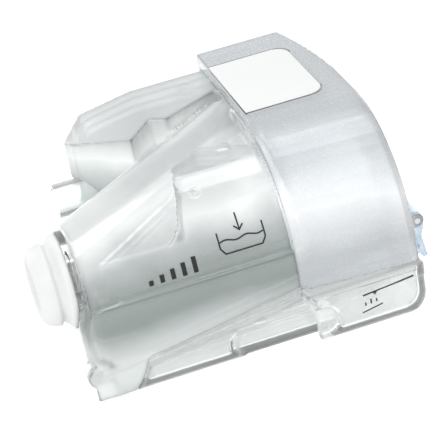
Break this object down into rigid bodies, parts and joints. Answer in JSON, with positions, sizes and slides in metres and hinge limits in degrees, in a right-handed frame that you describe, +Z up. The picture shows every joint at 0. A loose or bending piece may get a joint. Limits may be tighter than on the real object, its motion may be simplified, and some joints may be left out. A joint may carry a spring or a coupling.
{
  "type": "humidifier water chamber",
  "caption": "Clear water tub with a metal heater plate and a hinged, faceted clear lid with air ducts, a silicone inlet, a frosted front cover and a snap latch.",
  "frame": {"origin": "on the underside of the heater plate, midway between the rear wall and the face of the front cover", "axes": "+X towards the front cover, -Y the near side in the picture, +Z up"},
  "size_m": [0.1868, 0.1551, 0.0948],
  "materials": {
    "clear_plastic": "clear polycarbonate, polished",
    "inner_plastic": "clear polycarbonate, moulded",
    "frosted_plastic": "frosted translucent plastic, satin",
    "white_plastic": "white, satin",
    "blue_plastic": "pale blue translucent plastic",
    "white_silicone": "translucent white silicone",
    "dark_rubber": "dark silicone gasket",
    "plate_metal": "pressed sheet, satin",
    "pin_steel": "turned stainless pin"
  },
  "bodies": {
    "tub": {"tub_base": "clear_plastic", "heater_plate": "plate_metal", "plate_gasket": "dark_rubber", "plate_frame": "inner_plastic", "hinge_pin_near": "pin_steel", "hinge_pin_far": "pin_steel"},
    "lid": {"lid_shell": "clear_plastic", "lid_rim": "clear_plastic", "lid_seal": "white_silicone", "air_deck": "inner_plastic", "splash_baffle": "inner_plastic", "inlet_duct": "inner_plastic", "inlet_collar": "inner_plastic", "inlet_seal": "white_silicone", "outlet_duct": "inner_plastic", "outlet_port": "clear_plastic", "outlet_sleeve": "white_silicone", "front_cover": "frosted_plastic", "top_inset": "white_plastic", "latch_pin": "pin_steel"},
    "latch": {"front_latch": "blue_plastic"}
  },
  "joints": [
    {"name": "lid_hinge", "type": "hinge", "parent": "tub", "child": "lid", "pos_m": [-0.0775, 0, 0.0127], "axis": [0, -1, 0], "range_deg": [0, 85]},
    {"name": "latch_pivot", "type": "hinge", "parent": "lid", "child": "latch", "pos_m": [0.088, -0.045, 0.038], "axis": [0, -1, 0], "range_deg": [-7, 20]}
  ]
}
